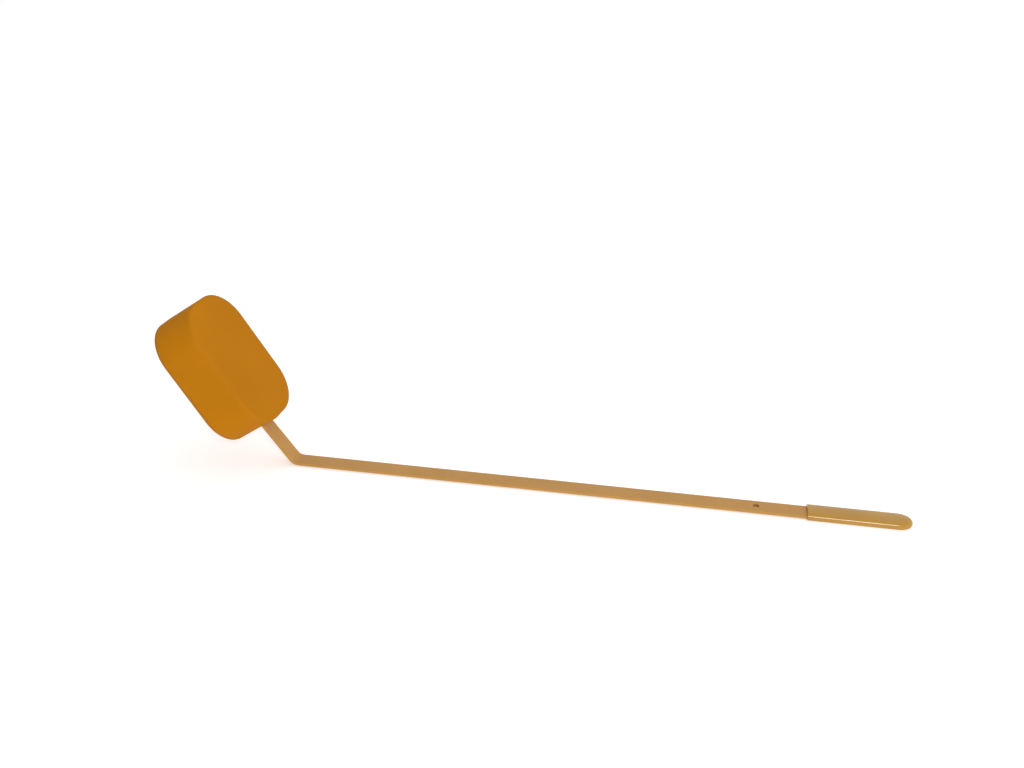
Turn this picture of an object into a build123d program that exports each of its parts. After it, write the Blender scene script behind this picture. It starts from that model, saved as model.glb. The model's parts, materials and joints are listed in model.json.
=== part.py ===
from build123d import *
import os
from math import cos, radians, sin

# Long-reach microchip reader: a flat strip, bent up near one end, carries a thick rounded
# reader head, and a slip-on sleeve at its other end is the grip.  Millimetres, +Z up.
# It lies on a flat surface: +X runs to the grip's end, +Y is across the strip, and the
# origin is the bottom centre of the bounding box.

# ---- driving dimensions ------------------------------------------------------------------
# strip
BAR_WIDTH = 25.0
BAR_THICK = 4.0
BAR_EDGE = 0.8
SHAFT_LENGTH = 675.0        # corner of the bend to the mouth of the grip
NECK_LENGTH = 67.0          # corner of the bend to the head's end wall
NECK_RISE = 53.5            # degrees above the shaft
HEAD_RISE = 57.0            # the tang inside the head is set a little steeper
BEND_RADIUS = 13.0
TANG_SET_RADIUS = 60.0
TANG_LENGTH = 52.0          # stretch of strip inside the head
GRIP_TANG_LENGTH = 106.0
HANG_HOLE_R = 3.75
HANG_HOLE_X = 613.0         # from the corner of the bend

# grip sleeve
GRIP_LENGTH = 126.0
GRIP_WIDTH = 30.5
GRIP_ABOVE = 4.2            # sleeve over the strip
GRIP_BELOW = 1.3            # sleeve under the strip
GRIP_EDGE = 3.4
GRIP_NOSE = 18.0            # length of the half-ellipse that ends it
GRIP_SLACK = 0.1            # width of the socket over the strip's
GRIP_END_ROOM = 0.5         # socket beyond the strip's end
GRIP_MOUTH = 1.2            # depth of the relief at the mouth, and its extra width and height

# head: u along its length from the end wall, v across, w through its thickness
HEAD_LENGTH = 182.0
HEAD_WIDTH = 120.0
HEAD_THICK = 64.0
HEAD_CORNER = 48.0
HEAD_EDGE = 2.0
RIM_EDGE = 1.4
WALL = 3.5
RIM = 2.0                   # wall left outside the recess that takes the cover
COVER_THICK = 3.0
GASKET_THICK = 0.8
TANG_W = 2.5                # the tang's middle above the head's middle
TANG_GAP = 0.1              # around the tang in its clamp
COVER_GAP = 0.15            # around the cover in its recess
FIT = 0.3                   # clearance between parts that move apart
CLOSE_FIT = 0.1             # clearance of a screw or pipe in its hole
SCREW_FIT = 0.2             # clearance of a screw in a part that it passes through
ROOT = 0.5                  # how far a moulded feature is sunk into the wall that carries it
PAST = 1.0                  # how far a cut runs past the face that it opens

TOP_W = HEAD_THICK / 2
BOTTOM_W = -HEAD_THICK / 2
COVER_W = BOTTOM_W + COVER_THICK
CEILING_W = TOP_W - WALL

# opening in the end wall for the strip
SLOT_SIDE = 0.4
SLOT_OVER = 0.5

# sound slots in the side wall
SOUND_SLOTS = 5
SOUND_START = 54.0
SOUND_PITCH = 3.2
SOUND_HALF = 0.7
SOUND_W = (14.0, 23.0)

# screw posts of the cover, two at each rounded end and two between
POST_R = 4.0
POST_HOLE = 12.0
POST_U = 18.0
POST_V = 42.0
POST_MID_U = 95.0
POST_MID_V = 52.6
COVER_POSTS = [
    (POST_U, POST_V),
    (POST_U, -POST_V),
    (POST_MID_U, POST_MID_V),
    (POST_MID_U, -POST_MID_V),
    (HEAD_LENGTH - POST_U, POST_V),
    (HEAD_LENGTH - POST_U, -POST_V),
]
SCREW_R = 1.5
SCREW_HOLE_R = SCREW_R + CLOSE_FIT
SCREW_HEAD_R = 3.0
SCREW_LENGTH = 12.0
BOARD_SCREW_LENGTH = 9.0
WING_SCREW_HEAD = (2.8, 2.0)    # radius and height
BOARD_SCREW_HEAD = (2.7, 1.5)
PAN_FLOOR = 0.4             # socket floor of a pan head, as a share of its height
PAN_SOCKET = 0.45           # hexagon socket, as a share of the head's radius
SUNK_SOCKET = 0.42

# neck block that clamps the tang
BLOCK_START = 6.0
BLOCK_LENGTH = 54.0
BLOCK_WIDTH = 40.0
BLOCK_HALF = 6.5
BLOCK_EDGE = 1.5
BLOCK_END = BLOCK_START + BLOCK_LENGTH
WING_START = 28.0
WING_W = TANG_W - 2.0
WING_THICK = 4.0
WING_SPAN = 100.0
WING_CORNER = 3.0
WING_POSTS = [(36.0, 46.0), (36.0, -46.0), (54.0, 46.0), (54.0, -46.0)]
TANG_BOLTS_U = (18.0, 44.0)
TANG_BOLT_R = 2.5
TANG_HOLE_R = 2.7
BOLT_HEAD_R = 4.4
BOLT_HEAD_HEIGHT = 2.4
NUT_ACROSS = 8.0
NUT_THICK = 4.0
SEAL_HALF_WIDTH = 17.0
SEAL_HALF_HEIGHT = 5.5
SEAL_CORNER = 4.0

# reader board
BOARD_START = 12.0
BOARD_LENGTH = 124.0
BOARD_WIDTH = 76.0
BOARD_CORNER = 6.0
BOARD_THICK = 1.6
BOARD_W = 13.4
BOARD_TOP = BOARD_W + BOARD_THICK
BOARD_POST_R = 3.4
BOARD_POSTS = [(26.0, 32.0), (26.0, -32.0), (126.0, 32.0), (126.0, -32.0)]

# parts on the board: place along u and v, then length, width and height
FRONT_END = (98.0, -14.0, 12.0, 12.0, 1.6)
CONTROLLER = (72.0, 4.0, 14.0, 14.0, 1.6)
MEMORY = (72.0, 24.0, 8.0, 5.0, 1.4)
RADIO = (46.0, 16.0, 24.0, 18.0, 3.2)
RADIO_CORNER = 1.0
CHOKE = (90.0, 12.0, 10.0, 10.0, 5.0)
CHOKE_CORNER = 2.0
CAPACITORS = [(112.0, 6.0), (112.0, 18.0), (100.0, 26.0), (118.0, -22.0)]
CAPACITOR_R = 3.2
CAPACITOR_HEIGHT = 8.0
SOCKET_HALF_LENGTH = 4.0
SOCKET_HALF_WIDTH = 5.0
SOCKET_HEIGHT = 6.0
SOCKET_W = BOARD_W - SOCKET_HEIGHT
BEEPER_PLACE = (SOUND_START + SOUND_PITCH * (SOUND_SLOTS - 1) / 2, -30.0)
BEEPER_R = 6.0
BEEPER_HEIGHT = 7.5
BEEPER_HOLE_R = 1.2

# antenna
COIL_START = 98.0
COIL_LENGTH = 70.0
COIL_WIDTH = 84.0
COIL_CORNER = 30.0
COIL_RING = 12.0
COIL_HEIGHT = 10.0
COIL_FLANGE = 1.5
COIL_GROOVE = 8.0
COIL_SUNK = 0.5             # winding below the flanges' edge
FERRITE_INSET = 1.5
FERRITE_THICK = 2.5
LEAD_R = 0.7
LEAD_U = 96.2
LEAD_BEND = 1.6
LEADS_V = (5.0, 9.0)

# battery well, its cells and its door
CELL_R = 7.1
CELL_LENGTH = 50.2
CELL_NUB_R = 2.7
CELL_NUB = 1.2
CELL_PITCH = 14.6
CELL_COUNT = 4
CELL_OVER = 10.9            # cells' axes above the scanning side
CELL_W = BOTTOM_W + CELL_OVER
CONTACT_THICK = 0.5
CONTACT_HALF_WIDTH = 5.0
CONTACT_HALF_HEIGHT = 6.0
SPRING_R = 3.4
SPRING_WIRE = 0.6
WELL_START = 31.0
WELL_LENGTH = 58.0
WELL_END = WELL_START + WELL_LENGTH
WELL_HALF = 29.7
WELL_WALL = 1.6
WELL_ROOM = 0.2             # between the cells and the well's ceiling
WELL_TOP = CELL_W + CELL_R + WELL_ROOM
BATTERY_LEADS = [(76.0, 20.0), (76.0, 24.0)]
HINGE_U = 25.0
HINGE_W = COVER_W
PIN_R = 1.2
PIN_HALF = 34.6
PIN_FIT = 0.06              # running fit of the door on its pin
BARREL_R = 3.0
BARREL_GAP = 0.45
SHOULDER_BEHIND = 5.2       # thickened cover around the door: behind the hinge,
SHOULDER_AHEAD = 2.4        # beyond the door's end,
SHOULDER_SIDE = 0.6         # outside the pin's ends
SHOULDER_OVER = 5.0         # and over the pin
DOOR_HALF = 31.2
DOOR_THICK = 2.6
DOOR_END = 92.6
DOOR_GAP = 0.35
DOOR_CORNER = 2.0
LEDGE_W = BOTTOM_W + DOOR_THICK + FIT
THUMB_R = 8.0
THUMB_DEPTH = 1.5
RIBS = 4
RIB_START = 80.0
RIB_PITCH = 2.4
RIB_WIDTH = 1.0
RIB_HALF = 10.0
RIB_DEPTH = 0.5
PAD_U = (50.0, 72.0)
PAD_HALF = WELL_HALF - 2.0
PAD_THICK = 0.9

# button on the end wall, above the strip
BUTTON_W = 19.0
BUTTON_R = 5.0
BUTTON_PROUD = 1.4
BUTTON_EDGE = 0.8
FLANGE_R = 6.2
FLANGE_START = WALL + FIT
FLANGE_THICK = 1.5
GUIDE_R = 8.0
GUIDE_LENGTH = 5.2
GUIDE_END = WALL + GUIDE_LENGTH
WIPER_THICK = 1.2
STEM_R = 2.4
PLUNGER_R = 1.6
PLUNGER_TIP = 9.6
PLUNGER_END = 14.6
SWITCH_START = 12.6
SWITCH_SIZE = 6.2
SWITCH_BORE = 3.6

# lamp and its light pipe, beside the button
PIPE_V = 10.1
PIPE_R = 1.4
PIPE_PROUD = 0.3
PIPE_END = 12.8
PIPE_COLLAR = 0.5
PIPE_COLLAR_LENGTH = 1.4
LED_START = 13.0
LED_LENGTH = 3.0
LED_HALF = 1.6


# ---- frames ------------------------------------------------------------------------------
def rising(degrees):
    """Unit direction that leaves the bend towards the head, above the surface."""
    return Vector(-cos(radians(degrees)), 0, sin(radians(degrees)))


def head_frame():
    """Location whose X, Y and Z are the head's u, v and w."""
    along = rising(HEAD_RISE)
    through = Vector(sin(radians(HEAD_RISE)), 0, cos(radians(HEAD_RISE)))
    corner = rising(NECK_RISE) * NECK_LENGTH - through * TANG_W
    return Plane(origin=corner, x_dir=along, z_dir=through).location


# ---- small helpers -----------------------------------------------------------------------
def slab(length, width, corner, thickness, start, base):
    """Flat slab with round corners, from u = start and w = base upwards."""
    outline = RectangleRounded(length, width, corner)
    return Pos(start + length / 2, 0, base) * extrude(outline, thickness)


def block(u_range, v_range, w_range):
    """Box between the given limits."""
    size = [high - low for low, high in (u_range, v_range, w_range)]
    middle = [(high + low) / 2 for low, high in (u_range, v_range, w_range)]
    return Pos(*middle) * Box(*size)


def around(middle, half):
    """Limits that lie half to each side of the middle."""
    return (middle - half, middle + half)


def rod(radius, low, high, u=0.0, v=0.0):
    """Round rod along w."""
    return Pos(u, v, (low + high) / 2) * Cylinder(radius, high - low)


def rod_u(radius, low, high, v=0.0, w=0.0):
    """Round rod along u."""
    return Pos((low + high) / 2, v, w) * Rot(0, 90, 0) * Cylinder(radius, high - low)


def rod_v(radius, half, u, w):
    """Round rod along v, half to each side of the middle."""
    return Pos(u, 0, w) * Rot(90, 0, 0) * Cylinder(radius, 2 * half)


def joined(pieces):
    """One compound holding separate solids."""
    return Compound(children=list(pieces))


def fused(pieces):
    """One solid made of touching pieces."""
    total = pieces[0]
    for piece in pieces[1:]:
        total = total + piece
    return total


def pan_screw(radius, length, head_radius, head_height):
    """Screw with its head's underside at the origin, pointing along -Z."""
    head = rod(head_radius, 0, head_height)
    rim = head.edges().filter_by(GeomType.CIRCLE).sort_by(Axis.Z)[-1]
    floor = head_height * PAN_FLOOR
    head = fillet(rim, floor)
    socket = Pos(0, 0, floor) * extrude(RegularPolygon(head_radius * PAN_SOCKET, 6), head_height)
    return head + rod(radius, -length, 0) - socket


def countersunk_screw(radius, length, head_radius):
    """Screw with its flat head's face at the origin, pointing along -Z."""
    depth = head_radius - radius
    cone = Pos(0, 0, -depth / 2) * Cone(radius, head_radius, depth)
    socket = Pos(0, 0, -depth) * extrude(RegularPolygon(head_radius * SUNK_SOCKET, 6), depth)
    return cone + rod(radius, -length, -depth) - socket


# ---- strip and grip ----------------------------------------------------------------------
def bent_bar():
    """Flat strip: grip tang, shaft, main bend, neck and the tang inside the head."""
    bend = Vector(0, 0, 0)
    entry = rising(NECK_RISE) * NECK_LENGTH
    end = entry + rising(HEAD_RISE) * TANG_LENGTH
    start = Vector(SHAFT_LENGTH + GRIP_TANG_LENGTH, 0, 0)
    path = FilletPolyline(start, bend, entry, end, radius=[BEND_RADIUS, TANG_SET_RADIUS])
    across = Plane(origin=start, x_dir=(0, 1, 0), z_dir=(-1, 0, 0))
    section = across * RectangleRounded(BAR_WIDTH, BAR_THICK, BAR_EDGE)
    bar = sweep(section, path=path)
    bar -= rod(HANG_HOLE_R, -BAR_THICK, BAR_THICK, u=HANG_HOLE_X)
    for u in TANG_BOLTS_U:
        bar -= head_frame() * rod(TANG_HOLE_R, TANG_W - BAR_THICK, TANG_W + BAR_THICK, u=u)
    return bar


def grip_outline(length, width, nose):
    """Strip-shaped outline with a half-ellipse at its far end, from x = 0."""
    straight = Pos((length - nose) / 2, 0) * Rectangle(length - nose, width)
    return straight + Pos(length - nose, 0) * Ellipse(nose, width / 2)


def grip_sleeve():
    """Closed sleeve pushed over the strip's end."""
    height = GRIP_BELOW + BAR_THICK + GRIP_ABOVE
    base = -BAR_THICK / 2 - GRIP_BELOW
    body = extrude(grip_outline(GRIP_LENGTH, GRIP_WIDTH, GRIP_NOSE), height)
    softened = []
    for face in (body.faces().sort_by(Axis.Z)[0], body.faces().sort_by(Axis.Z)[-1]):
        softened += [edge for edge in face.edges() if edge.center().X > PAST]
    body = Pos(SHAFT_LENGTH, 0, base) * fillet(softened, GRIP_EDGE)
    socket = GRIP_TANG_LENGTH + GRIP_END_ROOM
    tang = Box(socket, BAR_WIDTH + GRIP_SLACK, BAR_THICK + GRIP_SLACK)
    body -= Pos(SHAFT_LENGTH + socket / 2, 0, 0) * tang
    relief = Box(GRIP_MOUTH, BAR_WIDTH + GRIP_MOUTH, BAR_THICK + GRIP_MOUTH)
    return body - Pos(SHAFT_LENGTH + GRIP_MOUTH / 2, 0, 0) * relief


# ---- head casing -------------------------------------------------------------------------
def head_post(u, v, tip, radius=POST_R):
    """Moulded post with a screw hole, from the ceiling down to w = tip."""
    post = rod(radius, tip, CEILING_W + ROOT, u, v)
    return post - rod(SCREW_HOLE_R, tip - PAST, tip + POST_HOLE, u, v)


def head_outer():
    """Outer block of the head with its softened edges."""
    body = slab(HEAD_LENGTH, HEAD_WIDTH, HEAD_CORNER, HEAD_THICK, 0, BOTTOM_W)
    body = fillet(body.faces().sort_by(Axis.Z)[-1].edges(), HEAD_EDGE)
    return fillet(body.faces().sort_by(Axis.Z)[0].edges(), RIM_EDGE)


def inset_slab(inset, thickness, base):
    """Slab of the head's outline, drawn in by inset."""
    length = HEAD_LENGTH - 2 * inset
    width = HEAD_WIDTH - 2 * inset
    return slab(length, width, HEAD_CORNER - inset, thickness, inset, base)


def cavity():
    """Space inside the walls, open below."""
    return inset_slab(WALL, HEAD_THICK - WALL + PAST, BOTTOM_W - PAST)


def sound_slots():
    """Slots through the side wall, over the sounder."""
    places = [SOUND_START + SOUND_PITCH * i for i in range(SOUND_SLOTS)]
    wall = (-HEAD_WIDTH / 2 - PAST, -HEAD_WIDTH / 2 + WALL + PAST)
    return [block(around(u, SOUND_HALF), wall, SOUND_W) for u in places]


def end_wall_cuts():
    """Openings in the end wall for the strip, the button and the light pipe."""
    through = (-PAST, WALL + PAST)
    strip_v = around(0, BAR_WIDTH / 2 + SLOT_SIDE)
    strip_w = around(TANG_W, BAR_THICK / 2 + SLOT_OVER)
    return [
        block(through, strip_v, strip_w),
        rod_u(BUTTON_R + FIT, *through, w=BUTTON_W),
        rod_u(PIPE_R + CLOSE_FIT, *through, PIPE_V, BUTTON_W),
    ]


def head_shell():
    """Deep tray that is the head's face and walls, open on the scanning side."""
    posts = [head_post(u, v, COVER_W) for u, v in COVER_POSTS]
    posts += [head_post(u, v, WING_W + WING_THICK) for u, v in WING_POSTS]
    posts += [head_post(u, v, BOARD_TOP, BOARD_POST_R) for u, v in BOARD_POSTS]
    shell = fused([head_outer() - cavity()] + posts)
    shell -= inset_slab(RIM, COVER_THICK + GASKET_THICK + PAST, BOTTOM_W - PAST) - cavity()
    for cut in end_wall_cuts() + sound_slots():
        shell -= cut
    return shell


# ---- cover of the scanning side ----------------------------------------------------------
def well_bodies():
    """Outer and inner volumes of the battery well on the inside of the cover."""
    wall_u = (WELL_START - WELL_WALL, WELL_END + WELL_WALL)
    outer = block(wall_u, around(0, WELL_HALF + WELL_WALL), (COVER_W - ROOT, WELL_TOP + WELL_WALL))
    inner = block((WELL_START, WELL_END), around(0, WELL_HALF), (BOTTOM_W - PAST, WELL_TOP))
    return outer, inner


def door_shoulder():
    """Thicker stretch of the cover that frames the door and holds the hinge pin."""
    along = (HINGE_U - SHOULDER_BEHIND, DOOR_END + SHOULDER_AHEAD)
    return block(along, around(0, PIN_HALF + SHOULDER_SIDE), (COVER_W - ROOT, HINGE_W + SHOULDER_OVER))


def door_cuts():
    """Recess for the door's plate, trough for its barrel, pin hole and thumb notch."""
    half = DOOR_HALF + DOOR_GAP
    swept = BARREL_R + BARREL_GAP
    below = BOTTOM_W - PAST
    return [
        block((HINGE_U, DOOR_END + DOOR_GAP), around(0, half), (below, LEDGE_W)),
        rod_v(swept, half, HINGE_U, HINGE_W),
        block((HINGE_U - swept, HINGE_U + ROOT), around(0, half), (below, HINGE_W)),
        rod_v(PIN_R, PIN_HALF, HINGE_U, HINGE_W),
        rod(THUMB_R, BOTTOM_W - THUMB_DEPTH, BOTTOM_W + THUMB_DEPTH, DOOR_END),
    ]


def cover_screw_cuts(u, v):
    """Screw hole with its countersink."""
    sink = SCREW_HEAD_R - SCREW_R + CLOSE_FIT
    hole = rod(SCREW_HOLE_R, BOTTOM_W - PAST, COVER_W + PAST, u, v)
    cone = Cone(SCREW_HEAD_R + CLOSE_FIT, SCREW_R + CLOSE_FIT, sink)
    return [hole, Pos(u, v, BOTTOM_W + sink / 2) * cone]


def scan_cover():
    """Flat cover on the scanning side, moulded in one with the battery well."""
    plate = inset_slab(RIM + COVER_GAP, COVER_THICK, BOTTOM_W)
    outer, inner = well_bodies()
    cover = fused([plate, outer, door_shoulder()])
    cuts = [inner] + door_cuts()
    for u, v in COVER_POSTS:
        cuts += cover_screw_cuts(u, v)
    for u, v in BATTERY_LEADS:
        cuts.append(rod(LEAD_R + FIT, WELL_TOP - PAST, WELL_TOP + WELL_WALL + PAST, u, v))
    for cut in cuts:
        cover -= cut
    return cover


def cover_gasket():
    """Flat rubber ring between the shell's ledge and the cover."""
    ring = inset_slab(RIM + COVER_GAP, GASKET_THICK, COVER_W)
    return ring - inset_slab(WALL, GASKET_THICK + 2 * PAST, COVER_W - PAST)


def cover_screws():
    """Six countersunk screws, heads flush with the scanning side."""
    screw = Rot(180, 0, 0) * countersunk_screw(SCREW_R, SCREW_LENGTH, SCREW_HEAD_R)
    return joined([Pos(u, v, BOTTOM_W) * screw for u, v in COVER_POSTS])


# ---- neck clamp --------------------------------------------------------------------------
def tang_slot(low, high):
    """Slot that the tang slides into."""
    across = around(0, BAR_WIDTH / 2 + TANG_GAP)
    return block((low, high), across, around(TANG_W, BAR_THICK / 2 + TANG_GAP))


def neck_block():
    """Clamp block around the tang, with two wings screwed to the shell's posts."""
    body = block((BLOCK_START, BLOCK_END), around(0, BLOCK_WIDTH / 2), around(TANG_W, BLOCK_HALF))
    body = chamfer(body.edges().filter_by(Axis.X), BLOCK_EDGE)
    wing_w = (WING_W, WING_W + WING_THICK)
    wings = block((WING_START, BLOCK_END), around(0, WING_SPAN / 2), wing_w)
    body += fillet(wings.edges().filter_by(Axis.Z), WING_CORNER)
    body -= tang_slot(BLOCK_START - PAST, TANG_LENGTH + 4 * TANG_GAP)
    for u in TANG_BOLTS_U:
        body -= rod(TANG_HOLE_R, TANG_W - 2 * BLOCK_HALF, TANG_W + 2 * BLOCK_HALF, u)
    for u, v in WING_POSTS:
        body -= rod(SCREW_R + SCREW_FIT, WING_W - PAST, WING_W + WING_THICK + PAST, u, v)
    return body


def wing_screws():
    """Screws that hold the clamp block's wings to the shell."""
    screw = Rot(180, 0, 0) * pan_screw(SCREW_R, SCREW_LENGTH, *WING_SCREW_HEAD)
    return joined([Pos(u, v, WING_W) * screw for u, v in WING_POSTS])


def tang_bolts():
    """Two bolts through the block and the tang."""
    length = 2 * BLOCK_HALF + NUT_THICK + FIT
    bolt = pan_screw(TANG_BOLT_R, length, BOLT_HEAD_R, BOLT_HEAD_HEIGHT)
    return joined([Pos(u, 0, TANG_W + BLOCK_HALF) * bolt for u in TANG_BOLTS_U])


def tang_nuts():
    """Hexagon nuts of the tang bolts."""
    hexagon = RegularPolygon(NUT_ACROSS / 2, 6, major_radius=False) - Circle(TANG_BOLT_R)
    nut = extrude(hexagon, NUT_THICK)
    return joined([Pos(u, 0, TANG_W - BLOCK_HALF - NUT_THICK) * nut for u in TANG_BOLTS_U])


def neck_seal():
    """Rubber collar around the strip, pressed between the end wall and the block."""
    collar = block((WALL, BLOCK_START), around(0, SEAL_HALF_WIDTH), around(TANG_W, SEAL_HALF_HEIGHT))
    collar = fillet(collar.edges().filter_by(Axis.X), SEAL_CORNER) & cavity()
    return collar - tang_slot(WALL - PAST, BLOCK_START + PAST)


# ---- antenna -----------------------------------------------------------------------------
def coil_outline(inset, height, base):
    """Slab of the coil's outline, drawn in by inset."""
    length = COIL_LENGTH - 2 * inset
    width = COIL_WIDTH - 2 * inset
    return slab(length, width, COIL_CORNER - inset, height, COIL_START + inset, base)


def coil_former():
    """Open frame with an outward groove for the winding."""
    window = coil_outline(COIL_RING, COIL_HEIGHT + 2 * PAST, COVER_W - PAST)
    frame = coil_outline(0, COIL_HEIGHT, COVER_W) - window
    depth = COIL_HEIGHT - 2 * COIL_FLANGE
    base = COVER_W + COIL_FLANGE
    groove = coil_outline(-PAST, depth, base) - coil_outline(COIL_GROOVE, depth, base)
    return frame - groove


def antenna_coil():
    """Bundle of enamelled wire that fills the former's groove."""
    depth = COIL_HEIGHT - 2 * COIL_FLANGE
    base = COVER_W + COIL_FLANGE
    return coil_outline(COIL_SUNK, depth, base) - coil_outline(COIL_GROOVE, depth, base)


def ferrite_plate():
    """Plate that keeps the antenna's field off the board."""
    return coil_outline(FERRITE_INSET, FERRITE_THICK, COVER_W + COIL_HEIGHT)


def coil_leads():
    """Two leads from the winding up to the board."""
    base = COVER_W + COIL_HEIGHT / 2
    start = COIL_START + COIL_SUNK
    leads = []
    for v in LEADS_V:
        points = [(start, v, base), (LEAD_U, v, base), (LEAD_U, v, SOCKET_W)]
        path = FilletPolyline(*points, radius=LEAD_BEND)
        section = Plane(origin=points[0], z_dir=(-1, 0, 0)) * Circle(LEAD_R)
        leads.append(sweep(section, path=path))
    return joined(leads)


# ---- reader board ------------------------------------------------------------------------
def reader_board():
    """Circuit board of the reader."""
    board = slab(BOARD_LENGTH, BOARD_WIDTH, BOARD_CORNER, BOARD_THICK, BOARD_START, BOARD_W)
    for u, v in BOARD_POSTS:
        board -= rod(SCREW_R + SCREW_FIT, BOARD_W - PAST, BOARD_TOP + PAST, u, v)
    return board


def board_screws():
    """Screws that hold the board to its posts."""
    screw = Rot(180, 0, 0) * pan_screw(SCREW_R, BOARD_SCREW_LENGTH, *BOARD_SCREW_HEAD)
    return joined([Pos(u, v, BOARD_W) * screw for u, v in BOARD_POSTS])


def package(u, v, length, width, height):
    """Rectangular component on the board's upper face."""
    return block(around(u, length / 2), around(v, width / 2), (BOARD_TOP, BOARD_TOP + height))


def board_chips():
    """Reader front end, controller and memory."""
    return joined([package(*place) for place in (FRONT_END, CONTROLLER, MEMORY)])


def radio_can():
    """Shielded radio module that sends the number on."""
    can = package(*RADIO)
    return fillet(can.edges().filter_by(Axis.Z), RADIO_CORNER)


def board_capacitors():
    """Tuning and supply capacitors that stand on the board."""
    top = BOARD_TOP + CAPACITOR_HEIGHT
    return joined([rod(CAPACITOR_R, BOARD_TOP, top, u, v) for u, v in CAPACITORS])


def board_inductor():
    """Supply choke."""
    choke = package(*CHOKE)
    return fillet(choke.edges().filter_by(Axis.Z), CHOKE_CORNER)


def lead_socket(u, v):
    """Socket for a pair of leads, on the board's lower face."""
    return block(around(u, SOCKET_HALF_LENGTH), around(v, SOCKET_HALF_WIDTH), (SOCKET_W, BOARD_W))


def board_sockets():
    """Lead sockets: antenna and battery."""
    antenna = lead_socket(LEAD_U, sum(LEADS_V) / len(LEADS_V))
    (u, low), (_, high) = BATTERY_LEADS
    return joined([antenna, lead_socket(u, (low + high) / 2)])


def beeper():
    """Sounder beside the slots in the side wall."""
    top = BOARD_TOP + BEEPER_HEIGHT
    drum = rod(BEEPER_R, BOARD_TOP, top, *BEEPER_PLACE)
    return drum - rod(BEEPER_HOLE_R, top - PAST, top + PAST, *BEEPER_PLACE)


def tact_switch():
    """Right-angle switch behind the button."""
    half = SWITCH_SIZE / 2
    along = (SWITCH_START, SWITCH_START + SWITCH_SIZE)
    body = block(along, around(0, half), (BOARD_TOP, BUTTON_W + half))
    bore = rod_u(PLUNGER_R + SCREW_FIT, SWITCH_START - PAST, SWITCH_START + SWITCH_BORE, w=BUTTON_W)
    return body - bore


def status_led():
    """Lamp behind the light pipe."""
    along = (LED_START, LED_START + LED_LENGTH)
    return block(along, around(PIPE_V, LED_HALF), (BOARD_TOP, BUTTON_W + LED_HALF))


def light_pipe():
    """Clear rod from the lamp to the end wall."""
    pipe = rod_u(PIPE_R, -PIPE_PROUD, PIPE_END, PIPE_V, BUTTON_W)
    return pipe + rod_u(PIPE_R + PIPE_COLLAR, WALL, WALL + PIPE_COLLAR_LENGTH, PIPE_V, BUTTON_W)


# ---- button ------------------------------------------------------------------------------
def power_button():
    """Cap, retaining flange and stem in one moulding."""
    cap = rod_u(BUTTON_R, -BUTTON_PROUD, FLANGE_START + ROOT, w=BUTTON_W)
    rim = cap.edges().filter_by(GeomType.CIRCLE).sort_by(Axis.X)[0]
    cap = fillet(rim, BUTTON_EDGE)
    flange = rod_u(FLANGE_R, FLANGE_START, FLANGE_START + FLANGE_THICK, w=BUTTON_W)
    stem = rod_u(STEM_R, WALL, PLUNGER_TIP, w=BUTTON_W)
    return fused([cap, flange, stem])


def switch_plunger():
    """Plunger of the switch, pushed by the stem."""
    return rod_u(PLUNGER_R, PLUNGER_TIP, PLUNGER_END, w=BUTTON_W)


def button_guide():
    """Tube on the end wall that guides the flange and carries the wiper seal."""
    tube = rod_u(GUIDE_R, WALL, GUIDE_END, w=BUTTON_W)
    return tube - rod_u(FLANGE_R + FIT, WALL - PAST, GUIDE_END + PAST, w=BUTTON_W)


def wiper_seal():
    """Rubber disc that closes the tube around the stem."""
    disc = rod_u(FLANGE_R + FIT, GUIDE_END - WIPER_THICK, GUIDE_END, w=BUTTON_W)
    return disc - rod_u(STEM_R + FIT, WALL, GUIDE_END + PAST, w=BUTTON_W)


# ---- batteries ---------------------------------------------------------------------------
def cell_places():
    """Cross position of each cell in the well, and whether it is turned about."""
    middle = (CELL_COUNT - 1) / 2
    return [((i - middle) * CELL_PITCH, i % 2 == 1) for i in range(CELL_COUNT)]


def mirrored_in_well(piece):
    """The same piece at the well's other end."""
    return Pos(WELL_START + WELL_END, 0, 0) * (Rot(0, 0, 180) * piece)


def battery_cells():
    """Pen cells side by side, each with its nub against a plate and turned about in turn."""
    nub_end = WELL_END - CONTACT_THICK
    can_end = nub_end - CELL_NUB
    cells = []
    for v, turned in cell_places():
        side = -v if turned else v
        can = rod_u(CELL_R, nub_end - CELL_LENGTH, can_end, side, CELL_W)
        cell = can + rod_u(CELL_NUB_R, can_end, nub_end, side, CELL_W)
        cells.append(mirrored_in_well(cell) if turned else cell)
    return joined(cells)


def battery_springs():
    """Contact springs at the cells' flat ends, each as its coil's envelope."""
    near = WELL_START + CONTACT_THICK
    far = WELL_END - CONTACT_THICK - CELL_LENGTH
    springs = []
    for v, turned in cell_places():
        side = -v if turned else v
        bore = rod_u(SPRING_R - SPRING_WIRE, near - PAST, far + PAST, side, CELL_W)
        spring = rod_u(SPRING_R, near, far, side, CELL_W) - bore
        springs.append(mirrored_in_well(spring) if turned else spring)
    return joined(springs)


def contact_plates():
    """Nickel plates on the well's two end walls."""
    height = around(CELL_W, CONTACT_HALF_HEIGHT)
    plates = []
    for start in (WELL_START, WELL_END - CONTACT_THICK):
        for v, _ in cell_places():
            plates.append(block((start, start + CONTACT_THICK), around(v, CONTACT_HALF_WIDTH), height))
    return joined(plates)


def battery_leads():
    """Two leads from the well up to the board's battery socket."""
    return joined([rod(LEAD_R, WELL_TOP, SOCKET_W, u, v) for u, v in BATTERY_LEADS])


def door_ribs():
    """Shallow grooves for the thumb."""
    starts = [RIB_START + RIB_PITCH * i for i in range(RIBS)]
    depth = (BOTTOM_W - PAST, BOTTOM_W + RIB_DEPTH)
    return [block((u, u + RIB_WIDTH), around(0, RIB_HALF), depth) for u in starts]


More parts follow.
